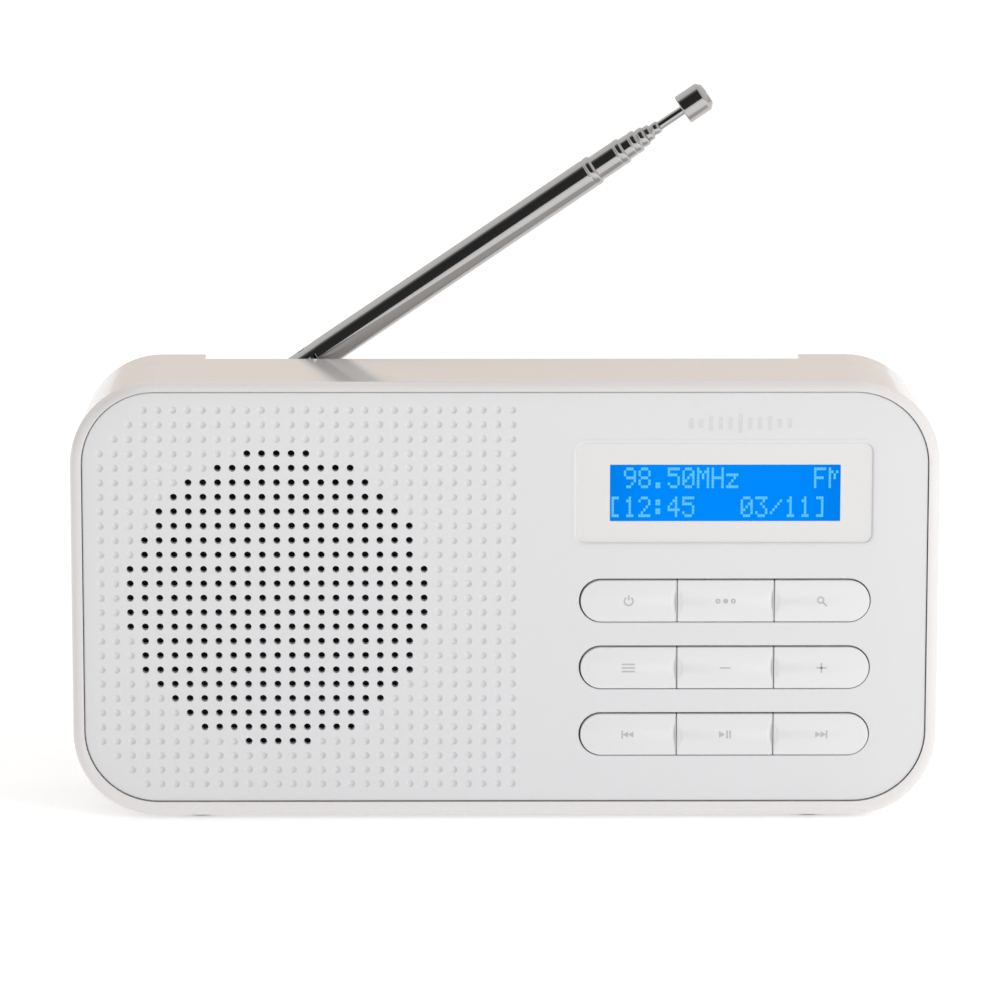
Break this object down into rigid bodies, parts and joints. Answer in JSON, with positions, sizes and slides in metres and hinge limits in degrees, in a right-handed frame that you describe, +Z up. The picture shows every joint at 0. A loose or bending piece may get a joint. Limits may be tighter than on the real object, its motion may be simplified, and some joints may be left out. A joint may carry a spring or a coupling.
{
  "type": "tabletop radio",
  "caption": "Compact white digital radio: perforated speaker grille, blue dot-matrix display, rows of pill-shaped keys and a folding telescopic antenna.",
  "frame": {"origin": "on the table, under the middle of the housing", "axes": "+X to the right of someone facing the front, +Y to the back, +Z up"},
  "size_m": [0.1612, 0.038, 0.1344],
  "materials": {
    "white_shell": "glossy moulded white",
    "panel_plastic": "satin white with a cool tint",
    "window_acrylic": "clear acrylic with a warm white mask behind",
    "key_plastic": "satin white, grey printed symbols",
    "foot_rubber": "grey rubber",
    "screw_steel": "zinc plated",
    "black_cloth": "fine black scrim",
    "speaker_steel": "pressed steel",
    "ferrite": "bare ferrite",
    "copper_coil": "varnished copper wire",
    "cone_paper": "black pressed paper",
    "surround_foam": "treated cloth roll",
    "board_green": "solder mask",
    "tinned_steel": "tinned",
    "chip_black": "moulded black",
    "can_aluminium": "bare can",
    "lcd_glass": "blue negative display glass",
    "holder_white": "white light guide",
    "jack_black": "moulded black",
    "contact_nickel": "nickel plated spring steel",
    "wire_red": "insulation",
    "antenna_chrome": "bright chromed brass",
    "plunger_black": "moulded black"
  },
  "bodies": {
    "housing": {"front_housing": "white_shell", "rear_housing": "white_shell", "front_panel": "panel_plastic", "display_window": "window_acrylic", "rubber_feet": "foot_rubber", "housing_screws": "screw_steel", "board_screws": "screw_steel", "speaker_screws": "screw_steel", "grille_cloth": "black_cloth", "speaker_basket": "speaker_steel", "speaker_yoke": "speaker_steel", "speaker_magnet": "ferrite", "speaker_surround": "surround_foam", "main_board": "board_green", "radio_module": "board_green", "shield_can": "tinned_steel", "audio_chips": "chip_black", "tact_switches": "chip_black", "capacitors": "can_aluminium", "lcd_glass": "lcd_glass", "lcd_holder": "holder_white", "headphone_jack": "jack_black", "dc_jack": "jack_black", "battery_contacts": "contact_nickel", "battery_springs": "contact_nickel", "wiring": "wire_red"},
    "key_power": {"key_power": "key_plastic", "plunger_power": "plunger_black"},
    "key_preset": {"key_preset": "key_plastic", "plunger_preset": "plunger_black"},
    "key_scan": {"key_scan": "key_plastic", "plunger_scan": "plunger_black"},
    "key_menu": {"key_menu": "key_plastic", "plunger_menu": "plunger_black"},
    "key_minus": {"key_minus": "key_plastic", "plunger_minus": "plunger_black"},
    "key_plus": {"key_plus": "key_plastic", "plunger_plus": "plunger_black"},
    "key_back": {"key_back": "key_plastic", "plunger_back": "plunger_black"},
    "key_play": {"key_play": "key_plastic", "plunger_play": "plunger_black"},
    "key_forward": {"key_forward": "key_plastic", "plunger_forward": "plunger_black"},
    "speaker_diaphragm": {"speaker_cone": "cone_paper", "voice_coil": "copper_coil", "dust_cap": "cone_paper"},
    "battery_cover": {"battery_door": "white_shell"},
    "antenna_swivel": {"antenna_base": "antenna_chrome", "antenna_screw": "screw_steel"},
    "antenna_mast": {"antenna_knuckle": "antenna_chrome", "antenna_pin": "antenna_chrome", "antenna_tube_1": "antenna_chrome"},
    "antenna_section_2": {"antenna_tube_2": "antenna_chrome"},
    "antenna_section_3": {"antenna_tube_3": "antenna_chrome"},
    "antenna_section_4": {"antenna_tube_4": "antenna_chrome"},
    "antenna_section_5": {"antenna_tube_5": "antenna_chrome"},
    "antenna_section_6": {"antenna_tube_6": "antenna_chrome"},
    "antenna_whip": {"antenna_rod": "antenna_chrome", "antenna_tip": "antenna_chrome"}
  },
  "joints": [
    {"name": "power_press", "type": "slide", "parent": "housing", "child": "key_power", "axis": [0, 1, 0], "range_m": [0, 0.0005], "stiffness_N_per_m": 800, "springref_m": -0.0005},
    {"name": "preset_press", "type": "slide", "parent": "housing", "child": "key_preset", "axis": [0, 1, 0], "range_m": [0, 0.0005], "stiffness_N_per_m": 800, "springref_m": -0.0005},
    {"name": "scan_press", "type": "slide", "parent": "housing", "child": "key_scan", "axis": [0, 1, 0], "range_m": [0, 0.0005], "stiffness_N_per_m": 800, "springref_m": -0.0005},
    {"name": "menu_press", "type": "slide", "parent": "housing", "child": "key_menu", "axis": [0, 1, 0], "range_m": [0, 0.0005], "stiffness_N_per_m": 800, "springref_m": -0.0005},
    {"name": "minus_press", "type": "slide", "parent": "housing", "child": "key_minus", "axis": [0, 1, 0], "range_m": [0, 0.0005], "stiffness_N_per_m": 800, "springref_m": -0.0005},
    {"name": "plus_press", "type": "slide", "parent": "housing", "child": "key_plus", "axis": [0, 1, 0], "range_m": [0, 0.0005], "stiffness_N_per_m": 800, "springref_m": -0.0005},
    {"name": "back_press", "type": "slide", "parent": "housing", "child": "key_back", "axis": [0, 1, 0], "range_m": [0, 0.0005], "stiffness_N_per_m": 800, "springref_m": -0.0005},
    {"name": "play_press", "type": "slide", "parent": "housing", "child": "key_play", "axis": [0, 1, 0], "range_m": [0, 0.0005], "stiffness_N_per_m": 800, "springref_m": -0.0005},
    {"name": "forward_press", "type": "slide", "parent": "housing", "child": "key_forward", "axis": [0, 1, 0], "range_m": [0, 0.0005], "stiffness_N_per_m": 800, "springref_m": -0.0005},
    {"name": "diaphragm_travel", "type": "slide", "parent": "housing", "child": "speaker_diaphragm", "axis": [0, 1, 0], "range_m": [-0.0008, 0.0008], "stiffness_N_per_m": 900},
    {"name": "battery_cover_swing", "type": "hinge", "parent": "housing", "child": "battery_cover", "pos_m": [0.0396, 0.019, 0.0075], "axis": [-1, 0, 0], "range_deg": [0, 70]},
    {"name": "antenna_swing", "type": "hinge", "parent": "housing", "child": "antenna_swivel", "pos_m": [-0.04261, 0.015, 0.07732], "axis": [0, -1, 0], "range_deg": [-34.29, 105]},
    {"name": "antenna_fold", "type": "hinge", "parent": "antenna_swivel", "child": "antenna_mast", "pos_m": [-0.03699, 0.015, 0.08115], "axis": [-0.5635, 0, 0.8261], "range_deg": [0, 90]},
    {"name": "section_2_slide", "type": "slide", "parent": "antenna_mast", "child": "antenna_section_2", "axis": [0.8261, 0, 0.5635], "range_m": [-0.0062, 0.045]},
    {"name": "section_3_slide", "type": "slide", "parent": "antenna_section_2", "child": "antenna_section_3", "axis": [0.8261, 0, 0.5635], "range_m": [-0.00295, 0.048]},
    {"name": "section_4_slide", "type": "slide", "parent": "antenna_section_3", "child": "antenna_section_4", "axis": [0.8261, 0, 0.5635], "range_m": [-0.00138, 0.0495]},
    {"name": "section_5_slide", "type": "slide", "parent": "antenna_section_4", "child": "antenna_section_5", "axis": [0.8261, 0, 0.5635], "range_m": [-0.00098, 0.0495]},
    {"name": "section_6_slide", "type": "slide", "parent": "antenna_section_5", "child": "antenna_section_6", "axis": [0.8261, 0, 0.5635], "range_m": [-0.00147, 0.049]},
    {"name": "whip_slide", "type": "slide", "parent": "antenna_section_6", "child": "antenna_whip", "axis": [0.8261, 0, 0.5635], "range_m": [-0.00502, 0.045]}
  ]
}
